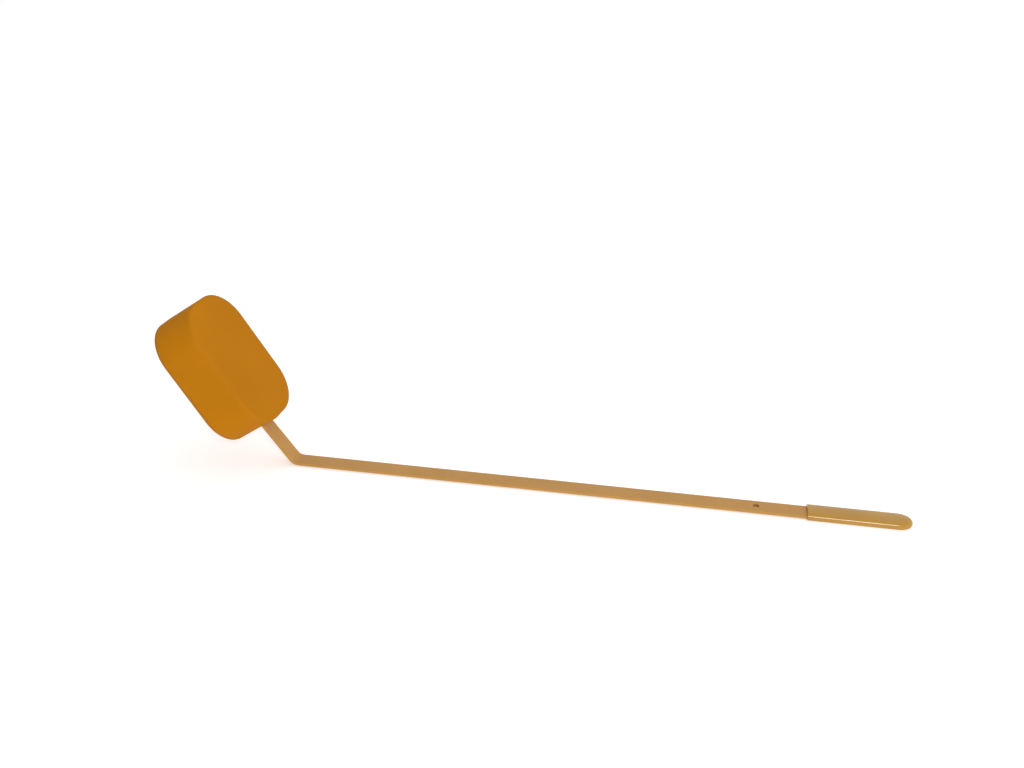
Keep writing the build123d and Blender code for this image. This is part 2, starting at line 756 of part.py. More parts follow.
def battery_door():
    """Door that closes the well, with its hinge barrel along one edge."""
    door = block((HINGE_U, DOOR_END), around(0, DOOR_HALF), (BOTTOM_W, BOTTOM_W + DOOR_THICK))
    door = fillet(door.edges().filter_by(Axis.Z).sort_by(Axis.X)[-2:], DOOR_CORNER)
    door += rod_v(BARREL_R, DOOR_HALF, HINGE_U, HINGE_W)
    door -= rod_v(PIN_R + PIN_FIT, DOOR_HALF + PAST, HINGE_U, HINGE_W)
    for rib in door_ribs():
        door -= rib
    return door


def door_pad():
    """Foam strip on the door that steadies the cells."""
    base = BOTTOM_W + DOOR_THICK
    return block(PAD_U, around(0, PAD_HALF), (base, base + PAD_THICK))


def hinge_pin():
    """Steel pin of the battery door."""
    return rod_v(PIN_R, PIN_HALF, HINGE_U, HINGE_W)


# ---- assembly ----------------------------------------------------------------------------
SHAFT_PARTS = [bent_bar, grip_sleeve]
HEAD_PARTS = [
    head_shell, scan_cover, cover_gasket, cover_screws,
    neck_block, wing_screws, tang_bolts, tang_nuts, neck_seal,
    coil_former, antenna_coil, ferrite_plate, coil_leads,
    reader_board, board_screws, board_chips, radio_can, board_capacitors, board_inductor,
    board_sockets, beeper, tact_switch, status_led, light_pipe,
    power_button, switch_plunger, button_guide, wiper_seal,
    battery_cells, battery_springs, contact_plates, battery_leads,
    battery_door, door_pad, hinge_pin,
]


def assemble():
    """Every piece by name, about the corner of the bend."""
    pieces = {make.__name__: make() for make in SHAFT_PARTS}
    frame = head_frame()
    for make in HEAD_PARTS:
        pieces[make.__name__] = frame * make()
    return pieces


def write_parts(pieces):
    """Move the origin to the bottom centre of the whole object and write each piece."""
    box = Compound(children=[Compound(piece.solids()) for piece in pieces.values()]).bounding_box()
    origin = Vector((box.min.X + box.max.X) / 2, 0, box.min.Z)
    os.makedirs("parts", exist_ok=True)
    for name, piece in pieces.items():
        moved = Location(-origin) * piece
        solids = moved.solids()
        export_step(solids[0] if len(solids) == 1 else Compound(solids), f"parts/{name}.step")
    print("corner of the bend, from the origin:", tuple(round(-c, 4) for c in origin))


write_parts(assemble())
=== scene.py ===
import json
import math

import bmesh
import bpy
from mathutils import Matrix, Vector


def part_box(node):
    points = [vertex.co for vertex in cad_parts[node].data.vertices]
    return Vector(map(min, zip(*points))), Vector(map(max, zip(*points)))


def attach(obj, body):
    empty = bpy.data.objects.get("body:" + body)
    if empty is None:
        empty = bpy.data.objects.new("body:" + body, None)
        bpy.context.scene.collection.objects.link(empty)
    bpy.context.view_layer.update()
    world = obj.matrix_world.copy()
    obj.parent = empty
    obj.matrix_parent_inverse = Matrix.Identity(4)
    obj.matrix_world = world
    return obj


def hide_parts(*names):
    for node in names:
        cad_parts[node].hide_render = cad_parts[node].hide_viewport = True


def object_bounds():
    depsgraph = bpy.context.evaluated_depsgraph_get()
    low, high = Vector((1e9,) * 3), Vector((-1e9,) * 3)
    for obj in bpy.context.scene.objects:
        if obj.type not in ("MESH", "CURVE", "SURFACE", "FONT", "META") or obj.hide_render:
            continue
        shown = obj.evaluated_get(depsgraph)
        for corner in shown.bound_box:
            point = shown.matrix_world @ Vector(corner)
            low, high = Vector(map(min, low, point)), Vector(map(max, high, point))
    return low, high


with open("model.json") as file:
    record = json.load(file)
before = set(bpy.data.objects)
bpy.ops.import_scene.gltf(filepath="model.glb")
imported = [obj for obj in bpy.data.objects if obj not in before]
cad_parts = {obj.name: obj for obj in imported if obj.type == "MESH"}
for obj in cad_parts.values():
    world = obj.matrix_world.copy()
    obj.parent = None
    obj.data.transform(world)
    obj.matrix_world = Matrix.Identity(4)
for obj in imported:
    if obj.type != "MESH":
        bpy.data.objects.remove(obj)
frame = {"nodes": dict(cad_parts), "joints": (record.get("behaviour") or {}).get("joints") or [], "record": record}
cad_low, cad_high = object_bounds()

# ---- what the frame says -----------------------------------------------------------------
SIZE = cad_high - cad_low
CENTRE = (cad_low + cad_high) / 2
FLOOR_Z = cad_low.z
MM = 0.001

# ---- camera: the long side of the wand runs across the view, seen from a little above ----
CAMERA_AZIMUTH = 11.73
CAMERA_ELEVATION = 24.63
CAMERA_REACH = 1.384        # distance, as a share of the wand's length
CAMERA_LENS = 37.49
CAMERA_SENSOR = 36.0
CAMERA_CLIP_END = 100.0
AIM_BACK = 0.0178           # aim towards the head, as a share of the wand's length,
AIM_UP = 0.6415             # and above the floor, as a share of its height
AIM = Vector((CENTRE.x - AIM_BACK * SIZE.x, CENTRE.y, FLOOR_Z + AIM_UP * SIZE.z))

# ---- surroundings ------------------------------------------------------------------------
FLOOR_RADIUS = 16.0
FLOOR_DROP = 0.0002         # keeps the floor clear of the wand's underside
FLOOR_GLOW = 0.32           # keeps shadows on the floor faint
DOME_RADIUS = 15.5
DOME_BELOW = 0.05           # how far the dome reaches below the floor, as a share of its radius
SKY_LEVEL = 0.68
SKY_SLOPE = (0.15, 0.25, 0.10)      # brighter to the right, behind and above
KEY_DIRECTION = Vector((0.30, -0.82, 0.49))
KEY_DISTANCE = 2.6
KEY_SIZE = (0.45, 0.34)
KEY_POWER = 25.0

# ---- mounts and joints by name, and the head's own directions ----------------------------
MOUNTS = {mount["name"]: mount for mount in frame["record"]["mounts"]}
JOINTS = {joint["name"]: joint for joint in frame["joints"]}
HEAD_U = Vector(JOINTS["button_press"]["axis"]).normalized()
HEAD_V = Vector((0.0, -1.0, 0.0))
HEAD_W = HEAD_U.cross(HEAD_V)
HINGE_U = 25.0 * MM         # the door's hinge line in the head
HINGE_W = -29.0 * MM        # through the head's thickness, from its middle
HEAD_ORIGIN = Vector(JOINTS["battery_door_hinge"]["pos_m"]) - HINGE_U * HEAD_U - HINGE_W * HEAD_W


# ---- node helpers ------------------------------------------------------------------------
class Shader:
    """A material's node tree, with short calls for the nodes used here."""

    def __init__(self, name):
        self.material = bpy.data.materials.new(name)
        self.material.use_nodes = True
        self.tree = self.material.node_tree
        self.surface = self.tree.nodes["Principled BSDF"]
        self.coords = self.node("ShaderNodeTexCoord").outputs["Object"]

    def node(self, kind, **settings):
        made = self.tree.nodes.new(kind)
        for key, value in settings.items():
            setattr(made, key, value)
        return made

    def link(self, output, socket):
        self.tree.links.new(output, socket)

    def feed(self, socket, value):
        """Links an output, or writes a constant on the socket."""
        if isinstance(value, bpy.types.NodeSocket):
            self.link(value, socket)
        else:
            socket.default_value = value

    def stretched(self, scale):
        """Object coordinates in metres, scaled along each axis."""
        mapping = self.node("ShaderNodeMapping")
        self.link(self.coords, mapping.inputs["Vector"])
        mapping.inputs["Scale"].default_value = scale
        return mapping.outputs["Vector"]

    def noise(self, scale, detail=3.0, rough=0.5, vector=None):
        made = self.node("ShaderNodeTexNoise")
        self.link(vector or self.coords, made.inputs["Vector"])
        made.inputs["Scale"].default_value = scale
        made.inputs["Detail"].default_value = detail
        made.inputs["Roughness"].default_value = rough
        return made.outputs["Fac"]

    def ramp(self, value, low, high, start=0.0, end=1.0):
        """Maps value from low..high to start..end, clamped."""
        made = self.node("ShaderNodeMapRange")
        self.link(value, made.inputs["Value"])
        made.inputs["From Min"].default_value = low
        made.inputs["From Max"].default_value = high
        made.inputs["To Min"].default_value = start
        made.inputs["To Max"].default_value = end
        return made.outputs["Result"]

    def math(self, operation, first, second=0.0):
        made = self.node("ShaderNodeMath", operation=operation)
        self.feed(made.inputs[0], first)
        self.feed(made.inputs[1], second)
        return made.outputs["Value"]

    def mix(self, factor, first, second):
        made = self.node("ShaderNodeMix", data_type="RGBA")
        self.feed(made.inputs["Factor"], factor)
        self.feed(made.inputs[6], first)
        self.feed(made.inputs[7], second)
        return made.outputs[2]

    def edges(self, radius, sharp=0.25, samples=4):
        """One where the surface turns sharply, zero on flat ground."""
        bevel = self.node("ShaderNodeBevel", samples=samples)
        bevel.inputs["Radius"].default_value = radius
        geometry = self.node("ShaderNodeNewGeometry")
        product = self.node("ShaderNodeVectorMath", operation="DOT_PRODUCT")
        self.link(bevel.outputs["Normal"], product.inputs[0])
        self.link(geometry.outputs["Normal"], product.inputs[1])
        return self.ramp(product.outputs["Value"], 1.0 - sharp, 1.0, 1.0, 0.0)

    def near_axis(self, point, inner, outer):
        """One within inner of an upright axis through point, fading to zero at outer."""
        offset = self.node("ShaderNodeVectorMath", operation="SUBTRACT")
        self.link(self.coords, offset.inputs[0])
        offset.inputs[1].default_value = point
        level = self.node("ShaderNodeVectorMath", operation="MULTIPLY")
        self.link(offset.outputs["Vector"], level.inputs[0])
        level.inputs[1].default_value = (1.0, 1.0, 0.0)
        length = self.node("ShaderNodeVectorMath", operation="LENGTH")
        self.link(level.outputs["Vector"], length.inputs[0])
        return self.ramp(length.outputs["Value"], inner, outer, 1.0, 0.0)

    def along_x(self, start, end):
        """Rises from zero at x = start to one at x = end."""
        parts = self.node("ShaderNodeSeparateXYZ")
        self.link(self.coords, parts.inputs["Vector"])
        return self.ramp(parts.outputs["X"], start, end)

    def bump(self, height, distance, strength=1.0, below=None):
        made = self.node("ShaderNodeBump")
        made.inputs["Strength"].default_value = strength
        made.inputs["Distance"].default_value = distance
        self.link(height, made.inputs["Height"])
        if below is not None:
            self.link(below, made.inputs["Normal"])
        return made.outputs["Normal"]

    def finish(self, colour, roughness, normal=None, **constants):
        self.feed(self.surface.inputs["Base Color"], colour)
        self.feed(self.surface.inputs["Roughness"], roughness)
        if normal is not None:
            self.link(normal, self.surface.inputs["Normal"])
        for key, value in constants.items():
            self.surface.inputs[key.replace("_", " ")].default_value = value
        return self.material


def rgb(red, green, blue):
    """sRGB 0-255 to a linear colour."""
    def linear(value):
        part = value / 255.0
        return part / 12.92 if part <= 0.04045 else ((part + 0.055) / 1.055) ** 2.4

    return (linear(red), linear(green), linear(blue), 1.0)


# ---- materials ---------------------------------------------------------------------------
SLEEVE_DARK = rgb(178, 131, 44)
SLEEVE_LIGHT = rgb(184, 137, 50)
COAT_DARK = rgb(182, 131, 54)
COAT_LIGHT = rgb(188, 137, 60)
OCHRE_DARK = rgb(180, 113, 8)
OCHRE_LIGHT = rgb(186, 118, 12)
SLEEVE_ROUGH = (0.16, 0.24)
SLEEVE_GLOSS = 0.45
WORN_PALER = 1.6            # how much paler a small moulding's worn edges are


def ochre_shell():
    """Matte moulded plastic with a fine grain; a broad painted highlight lightens the rounded edges, narrow worn
    spots rub them, and edges are softened in shading only.
    """
    shader = Shader("ochre_shell")
    cloud = shader.noise(9.0, 4.0, 0.55)
    fleck = shader.noise(420.0, 2.0, 0.5)
    base = shader.mix(shader.ramp(cloud, 0.35, 0.65), OCHRE_DARK, OCHRE_LIGHT)
    base = shader.mix(shader.ramp(fleck, 0.55, 0.75, 0.0, 0.16), base, rgb(168, 101, 10))
    # painted highlight: a broad lighter band along the rounded edges, standing in for a soft highlight across them
    broad_edge_highlight = shader.edges(10.0 * MM, sharp=0.3, samples=8)
    base = shader.mix(shader.math("MULTIPLY", broad_edge_highlight, 0.6), base, rgb(188, 124, 32))
    worn = shader.math("MULTIPLY", shader.edges(2.2 * MM), shader.ramp(shader.noise(60.0, 4.0), 0.4, 0.65))
    base = shader.mix(shader.math("MULTIPLY", worn, 0.3), base, rgb(194, 130, 36))
    soft = shader.node("ShaderNodeBevel", samples=8)
    soft.inputs["Radius"].default_value = 7.0 * MM
    grain = shader.bump(shader.noise(2600.0, 2.0), 0.00006, 0.55, below=soft.outputs["Normal"])
    normal = shader.bump(shader.noise(90.0, 3.0), 0.0003, 0.10, below=grain)
    rough = shader.ramp(cloud, 0.3, 0.7, 0.66, 0.8)
    return shader.finish(base, rough, normal, Specular_IOR_Level=0.05)


def tan_coat():
    """Powder coat on steel: orange peel, faint scuffs along the strip, thin at the edges; painted shade in the
    hang hole and where the strip runs into the sleeve.
    """
    shader = Shader("tan_coat")
    cloud = shader.noise(14.0, 4.0, 0.6)
    streak = shader.noise(30.0, 4.0, 0.6, shader.stretched((1.0, 14.0, 14.0)))
    base = shader.mix(shader.ramp(cloud, 0.35, 0.65), COAT_DARK, COAT_LIGHT)
    base = shader.mix(shader.ramp(streak, 0.6, 0.8, 0.0, 0.25), base, rgb(192, 146, 76))
    worn = shader.math("MULTIPLY", shader.edges(0.0012), shader.ramp(shader.noise(70.0, 5.0), 0.42, 0.62))
    base = shader.mix(shader.math("MULTIPLY", worn, 0.55), base, rgb(205, 170, 122))
    hole = MOUNTS["hang_hole"]
    radius = hole["dims"]["r_mm"] * MM
    # painted shade: darker brown inside and round the hang hole, where its walls lie in shade
    hole_shade = shader.near_axis(hole["pos_m"], radius + 0.05 * MM, radius + 0.8 * MM)
    base = shader.mix(shader.math("MULTIPLY", hole_shade, 0.4), base, rgb(96, 58, 18))
    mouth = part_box("grip_sleeve")[0].x
    # painted shade: a dark band on the strip just before it runs into the sleeve's mouth, where the sleeve shades
    # it
    mouth_shade = shader.along_x(mouth - 1.0 * MM, mouth - 0.1 * MM)
    base = shader.mix(shader.math("MULTIPLY", mouth_shade, 0.5), base, rgb(96, 62, 26))
    peel = shader.bump(shader.noise(650.0, 2.0), 0.0001, 0.25)
    rough = shader.ramp(streak, 0.3, 0.75, 0.34, 0.5)
    return shader.finish(base, rough, peel, Specular_IOR_Level=0.4)


def tan_sleeve():
    """Soft vinyl sleeve with a faint skin and handling marks."""
    shader = Shader("tan_sleeve")
    cloud = shader.noise(26.0, 4.0, 0.6)
    mark = shader.noise(120.0, 4.0, 0.65, shader.stretched((1.0, 3.0, 3.0)))
    base = shader.mix(shader.ramp(cloud, 0.35, 0.65), SLEEVE_DARK, SLEEVE_LIGHT)
    base = shader.mix(shader.ramp(mark, 0.58, 0.72, 0.0, 0.3), base, rgb(172, 122, 44))
    skin = shader.bump(shader.noise(1500.0, 3.0), 0.00005, 0.3)
    rough = shader.ramp(mark, 0.35, 0.7, *SLEEVE_ROUGH)
    return shader.finish(base, rough, skin, Specular_IOR_Level=SLEEVE_GLOSS)


def moulded_plastic(name, dark, light, rough=0.55, specular=0.4):
    """Plain moulded plastic with a fine grain."""
    shader = Shader(name)
    cloud = shader.noise(60.0, 4.0)
    base = shader.mix(shader.ramp(cloud, 0.35, 0.65), dark, light)
    worn = shader.math("MULTIPLY", shader.edges(0.0006), shader.ramp(shader.noise(200.0), 0.4, 0.65))
    paler = [min(1.0, WORN_PALER * part) for part in light[:3]] + [1.0]
    base = shader.mix(shader.math("MULTIPLY", worn, 0.3), base, paler)
    grain = shader.bump(shader.noise(2400.0, 2.0), 0.00004, 0.5)
    roughness = shader.ramp(cloud, 0.3, 0.7, rough - 0.06, rough + 0.08)
    return shader.finish(base, roughness, grain, Specular_IOR_Level=specular)


def soft_rubber():
    """Black rubber with a dusty bloom."""
    shader = Shader("black_rubber")
    bloom = shader.noise(300.0, 5.0, 0.6)
    base = shader.mix(shader.ramp(bloom, 0.45, 0.7), rgb(20, 20, 20), rgb(48, 46, 44))
    skin = shader.bump(shader.noise(1800.0, 3.0), 0.00006, 0.5)
    return shader.finish(base, shader.ramp(bloom, 0.3, 0.7, 0.7, 0.9), skin, Specular_IOR_Level=0.3)


def plated_steel():
    """Zinc-plated steel with turned marks and spangle."""
    shader = Shader("zinc_steel")
    spangle = shader.noise(900.0, 3.0)
    base = shader.mix(shader.ramp(spangle, 0.35, 0.65), rgb(176, 178, 182), rgb(208, 209, 212))
    tarnish = shader.ramp(shader.noise(160.0, 5.0), 0.55, 0.75, 0.0, 0.4)
    base = shader.mix(tarnish, base, rgb(150, 142, 124))
    marks = shader.bump(shader.noise(3000.0, 2.0), 0.00003, 0.4)
    return shader.finish(base, shader.ramp(spangle, 0.3, 0.7, 0.24, 0.4), marks, Metallic=1.0)


def copper_wire():
    """Enamelled copper."""
    shader = Shader("copper_wire")
    tone = shader.noise(240.0, 4.0)
    base = shader.mix(shader.ramp(tone, 0.3, 0.7), rgb(170, 84, 38), rgb(206, 118, 62))
    lacquer = shader.bump(shader.noise(1600.0, 2.0), 0.00003, 0.3)
    return shader.finish(base, shader.ramp(tone, 0.3, 0.7, 0.22, 0.34), lacquer, Metallic=0.85)


def lead_insulation():
    """Red silicone insulation."""
    shader = Shader("lead_insulation")
    tone = shader.noise(500.0, 3.0)
    base = shader.mix(shader.ramp(tone, 0.3, 0.7), rgb(150, 22, 20), rgb(178, 34, 28))
    skin = shader.bump(shader.noise(2200.0, 2.0), 0.00003, 0.3)
    return shader.finish(base, shader.ramp(tone, 0.3, 0.7, 0.36, 0.5), skin)


def ferrite():
    """Sintered ferrite, dark and slightly crystalline."""
    shader = Shader("ferrite")
    crystal = shader.noise(1500.0, 4.0, 0.7)
    base = shader.mix(shader.ramp(crystal, 0.4, 0.65), rgb(52, 52, 56), rgb(84, 84, 90))
    pits = shader.bump(crystal, 0.00008, 0.5)
    return shader.finish(base, shader.ramp(crystal, 0.3, 0.7, 0.45, 0.65), pits)


def board_green():
    """Solder mask over copper tracks laid out on a square grid."""
    shader = Shader("board_green")
    voronoi = shader.node("ShaderNodeTexVoronoi", distance="MANHATTAN", feature="DISTANCE_TO_EDGE")
    shader.link(shader.coords, voronoi.inputs["Vector"])
    voronoi.inputs["Scale"].default_value = 190.0
    voronoi.inputs["Randomness"].default_value = 0.55
    track = shader.ramp(voronoi.outputs["Distance"], 0.03, 0.06, 1.0, 0.0)
    tone = shader.ramp(shader.noise(70.0, 4.0), 0.3, 0.7)
    mask = shader.mix(tone, rgb(10, 78, 42), rgb(16, 92, 50))
    base = shader.mix(shader.math("MULTIPLY", track, 0.7), mask, rgb(44, 132, 74))
    relief = shader.bump(track, 0.00004, 0.6)
    return shader.finish(base, shader.ramp(track, 0.0, 1.0, 0.3, 0.42), relief)


def shield_tin():
    """Tinned steel can, lightly rolled."""
    shader = Shader("shield_tin")
    rolled = shader.noise(900.0, 3.0, 0.5, shader.stretched((1.0, 0.08, 1.0)))
    base = shader.mix(shader.ramp(rolled, 0.3, 0.7), rgb(184, 184, 180), rgb(208, 208, 204))
    marks = shader.bump(rolled, 0.00004, 0.4)
    return shader.finish(base, shader.ramp(rolled, 0.3, 0.7, 0.28, 0.42), marks, Metallic=1.0)


def clear_acrylic():
    """Clear, slightly frosted plastic of the light pipe."""
    shader = Shader("clear_acrylic")
    frost = shader.noise(900.0, 3.0)
    base = shader.mix(shader.ramp(frost, 0.3, 0.7), rgb(236, 240, 240), rgb(246, 248, 248))
    ripple = shader.bump(frost, 0.00003, 0.3)
    roughness = shader.ramp(frost, 0.3, 0.7, 0.12, 0.25)
    return shader.finish(base, roughness, ripple, Transmission_Weight=0.8, IOR=1.49)


def cell_wrap():
    """Dark shrink sleeve of a pen cell."""
    shader = Shader("cell_wrap")
    tone = shader.noise(400.0, 3.0)
    base = shader.mix(shader.ramp(tone, 0.3, 0.7), rgb(44, 52, 60), rgb(58, 68, 78))
    wrinkle = shader.bump(shader.noise(700.0, 3.0), 0.00004, 0.3)
    return shader.finish(base, shader.ramp(tone, 0.3, 0.7, 0.28, 0.4), wrinkle, Specular_IOR_Level=0.5)


def grey_foam():
    """Open-cell foam strip."""
    shader = Shader("grey_foam")
    voronoi = shader.node("ShaderNodeTexVoronoi")
    shader.link(shader.coords, voronoi.inputs["Vector"])
    voronoi.inputs["Scale"].default_value = 1600.0
    cell = voronoi.outputs["Distance"]
    base = shader.mix(shader.ramp(cell, 0.2, 0.7), rgb(70, 70, 74), rgb(104, 104, 108))
    return shader.finish(base, shader.ramp(cell, 0.2, 0.7, 0.85, 0.98), shader.bump(cell, 0.0002, 0.6))


def floor_material():
    """Pale studio floor."""
    shader = Shader("studio_floor")
    tone = shader.noise(1.5, 2.0)
    base = shader.mix(shader.ramp(tone, 0.3, 0.7), (0.90, 0.90, 0.90, 1.0), (0.915, 0.915, 0.915, 1.0))
    shader.surface.inputs["Emission Color"].default_value = (1.0, 1.0, 1.0, 1.0)
    shader.surface.inputs["Emission Strength"].default_value = FLOOR_GLOW
    return shader.finish(base, shader.ramp(tone, 0.3, 0.7, 0.85, 0.95), Specular_IOR_Level=0.1)


def make_materials():
    """Every material by its slot's name."""
    return {
        "ochre_shell": ochre_shell(),
        "tan_coat": tan_coat(),
        "tan_sleeve": tan_sleeve(),
        "black_nylon": moulded_plastic("black_nylon", rgb(30, 30, 32), rgb(42, 42, 45)),
        "button_grey": moulded_plastic("button_grey", rgb(58, 58, 62), rgb(72, 72, 77), 0.45),
        "black_rubber": soft_rubber(),
        "zinc_steel": plated_steel(),
        "copper_wire": copper_wire(),
        "lead_insulation": lead_insulation(),
        "ferrite": ferrite(),
        "board_green": board_green(),
        "chip_black": moulded_plastic("chip_black", rgb(24, 24, 26), rgb(38, 38, 40), 0.5),
        "shield_tin": shield_tin(),
        "capacitor_blue": moulded_plastic("capacitor_blue", rgb(30, 44, 92), rgb(40, 56, 112), 0.3),
        "socket_white": moulded_plastic("socket_white", rgb(214, 208, 192), rgb(226, 222, 208), 0.5),
        "clear_acrylic": clear_acrylic(),
        "led_amber": moulded_plastic("led_amber", rgb(226, 170, 84), rgb(236, 186, 104), 0.25),
        "cell_wrap": cell_wrap(),
        "grey_foam": grey_foam(),
    }


def dress_nodes(materials):
    """Puts each CAD node's material on its slots."""
    slots = {part["node"]: part["material_slot"] for part in frame["record"]["subparts"]}
    for name, node in frame["nodes"].items():
        material = materials[slots[name]]
        if not node.material_slots:
            node.data.materials.append(material)
        for place in node.material_slots:
            place.material = material


# ---- pieces ------------------------------------------------------------------------------
def in_head(u, v, w):
    """Point of the head, from millimetres along its own directions."""
    return HEAD_ORIGIN + (HEAD_U * u + HEAD_V * v + HEAD_W * w) * MM


def shade(mesh, crease):
    """Smooth shading with sharp edges where faces turn by more than crease."""
    mesh.shade_smooth()
    mesh.set_sharp_from_angle(angle=math.radians(crease))


def add_object(name, made):
    """Object made of a bmesh."""
    mesh = bpy.data.meshes.new(name)
    made.to_mesh(mesh)
    made.free()
    added = bpy.data.objects.new(name, mesh)
    bpy.context.collection.objects.link(added)
    return added


def finish_piece(piece, material_slot, nodes, materials, crease=40.0):
    """Shades a piece, gives it its material and lets it ride on the wand for some CAD nodes."""
    shade(piece.data, crease)
    piece.data.materials.clear()
    piece.data.materials.append(materials[material_slot])
    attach(piece, "wand")
    if nodes:
        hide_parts(*nodes)


def skin(made, rings, looped=False):
    """Quads between neighbouring closed rings of points; looped joins the last to the first."""
    rows = [[made.verts.new(point) for point in ring] for ring in rings]
    pairs = list(zip(rows, rows[1:]))
    if looped:
        pairs.append((rows[-1], rows[0]))
    for lower, upper in pairs:
        for i in range(len(lower)):
            j = (i + 1) % len(lower)
            made.faces.new((lower[i], lower[j], upper[j], upper[i]))
    return rows


def tube(made, points, radius, sides):
    """Capped round tube along points."""
    rings = []
    side = (points[1] - points[0]).orthogonal().normalized()
    for i, point in enumerate(points):
        ahead = (points[min(i + 1, len(points) - 1)] - points[max(i - 1, 0)]).normalized()
        side = (side - ahead * side.dot(ahead)).normalized()
        across = ahead.cross(side)
        turns = [2 * math.pi * k / sides for k in range(sides)]
        rings.append([point + (side * math.cos(t) + across * math.sin(t)) * radius for t in turns])
    rows = skin(made, rings)
    made.faces.new(list(reversed(rows[0])))
    made.faces.new(rows[-1])


POINT_WELD = 0.001 * MM     # points of a new mesh that are this near are one point
CUT_WELD = 0.01 * MM


def weld(mesh):
    """Joins points that fall together after a cut and drops the slivers between them."""
    made = bmesh.new()
    made.from_mesh(mesh)
    bmesh.ops.remove_doubles(made, verts=made.verts, dist=CUT_WELD)
    bmesh.ops.dissolve_degenerate(made, edges=made.edges, dist=CUT_WELD)
    made.to_mesh(mesh)
    made.free()


def carve(piece, low, high):
    """Cuts a box, given by its corners, out of a piece."""
    made = bmesh.new()
    bmesh.ops.create_cube(made, size=1.0)
    size = Matrix.Diagonal((*(high - low), 1.0))
    bmesh.ops.transform(made, matrix=Matrix.Translation((low + high) / 2) @ size, verts=made.verts)
    cutter = add_object("cutter", made)
    cut = piece.modifiers.new("cut", "BOOLEAN")
    cut.operation = "DIFFERENCE"
    cut.object = cutter
    bpy.context.view_layer.update()
    carved = piece.evaluated_get(bpy.context.evaluated_depsgraph_get())
    piece.data = bpy.data.meshes.new_from_object(carved)
    piece.modifiers.clear()
    bpy.data.objects.remove(cutter)
    weld(piece.data)


# the sleeve: a crowned, soft-edged bar with a rounded nose, built up from level rings
SLEEVE_TOP_EDGE = 5.2 * MM
SLEEVE_BOTTOM_EDGE = 2.4 * MM
SLEEVE_SLOPE = 9.0          # degrees, where the crown runs into the top edge
SLEEVE_LIP = 0.9 * MM
SLEEVE_NOSE = 18.0 * MM
SLEEVE_FLASH = 0.12 * MM    # how far the moulding line stands out, round the middle
SLEEVE_FLASH_HALF = 0.35 * MM
EDGE_STEPS = 10
CAP_STEPS = 8
SIDE_STEPS = 24
NOSE_STEPS = 28
MOUTH_STEPS = 8
BAR_THICK = 4.0 * MM
MOUTH_ROOM = 0.35 * MM
MOUTH_DEPTH = 0.8 * MM
SOCKET_ROOM = 0.05 * MM
SOCKET_DEPTH = 106.5 * MM


def sleeve_ring(low, high, inset, lip, z):
    """Outline of the sleeve at one height, drawn in by inset; lip draws in its mouth end."""
    half = max((high.y - low.y) / 2 - inset, 0.0)
    nose = SLEEVE_NOSE - inset
    start = low.x + lip
    turn = high.x - SLEEVE_NOSE
    side = [start + (turn - start) * i / SIDE_STEPS for i in range(SIDE_STEPS + 1)]
    arc = [math.pi * (i / NOSE_STEPS - 0.5) for i in range(1, NOSE_STEPS)]
    ring = [Vector((x, -half, z)) for x in side]
    ring += [Vector((turn + nose * math.cos(t), half * math.sin(t), z)) for t in arc]
    ring += [Vector((x, half, z)) for x in reversed(side)]
    ring += [Vector((start, half * (1 - 2 * i / MOUTH_STEPS), z)) for i in range(1, MOUTH_STEPS)]
    return ring


def sleeve_rings(low, high):
    """Inset, mouth lip and height of every ring, from the underside up to the crown's ridge."""
    half = (high.y - low.y) / 2
    slope = math.radians(SLEEVE_SLOPE)
    span = half - SLEEVE_FLASH - SLEEVE_TOP_EDGE * (1 - math.sin(slope))
    crown = span * math.tan(slope) / 2
    shoulder = high.z - crown - SLEEVE_TOP_EDGE * math.cos(slope)
    knee = low.z + SLEEVE_BOTTOM_EDGE
    rings = [(half, half, low.z)]
    for i in range(EDGE_STEPS + 1):
        turn = math.pi / 2 * i / EDGE_STEPS
        away = 1 - math.sin(turn)
        inset = SLEEVE_FLASH + SLEEVE_BOTTOM_EDGE * away
        rings.append((inset, SLEEVE_LIP * away, knee - SLEEVE_BOTTOM_EDGE * math.cos(turn)))
    middle = (knee + shoulder) / 2
    rings.append((SLEEVE_FLASH, 0.0, middle - SLEEVE_FLASH_HALF))
    rings.append((0.0, 0.0, middle))
    rings.append((SLEEVE_FLASH, 0.0, middle + SLEEVE_FLASH_HALF))
    for i in range(EDGE_STEPS + 1):
        turn = (math.pi / 2 - slope) * i / EDGE_STEPS
        away = 1 - math.cos(turn)
        inset = SLEEVE_FLASH + SLEEVE_TOP_EDGE * away
        rings.append((inset, SLEEVE_LIP * away, shoulder + SLEEVE_TOP_EDGE * math.sin(turn)))
    for i in range(1, CAP_STEPS + 1):
        across = 1 - i / CAP_STEPS
        rings.append((half - span * across, SLEEVE_LIP, high.z - crown * across * across))
    return rings


def make_sleeve(materials):
    """Vinyl sleeve in place of the plain CAD one, hollowed for the strip."""
    low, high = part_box("grip_sleeve")
    bar_low, bar_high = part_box("bent_bar")
    made = bmesh.new()
    skin(made, [sleeve_ring(low, high, *ring) for ring in sleeve_rings(low, high)])
    bmesh.ops.remove_doubles(made, verts=made.verts, dist=POINT_WELD)
    bmesh.ops.dissolve_degenerate(made, edges=made.edges, dist=POINT_WELD)
    bmesh.ops.recalc_face_normals(made, faces=made.faces)
    sleeve = add_object("vinyl_sleeve", made)
    for room, depth in ((SOCKET_ROOM, SOCKET_DEPTH), (MOUTH_ROOM, MOUTH_DEPTH)):
        least = Vector((low.x - MM, bar_low.y - room, bar_low.z - room))
        most = Vector((low.x + depth, bar_high.y + room, bar_low.z + BAR_THICK + room))
        carve(sleeve, least, most)
    finish_piece(sleeve, "tan_sleeve", ["grip_sleeve"], materials)


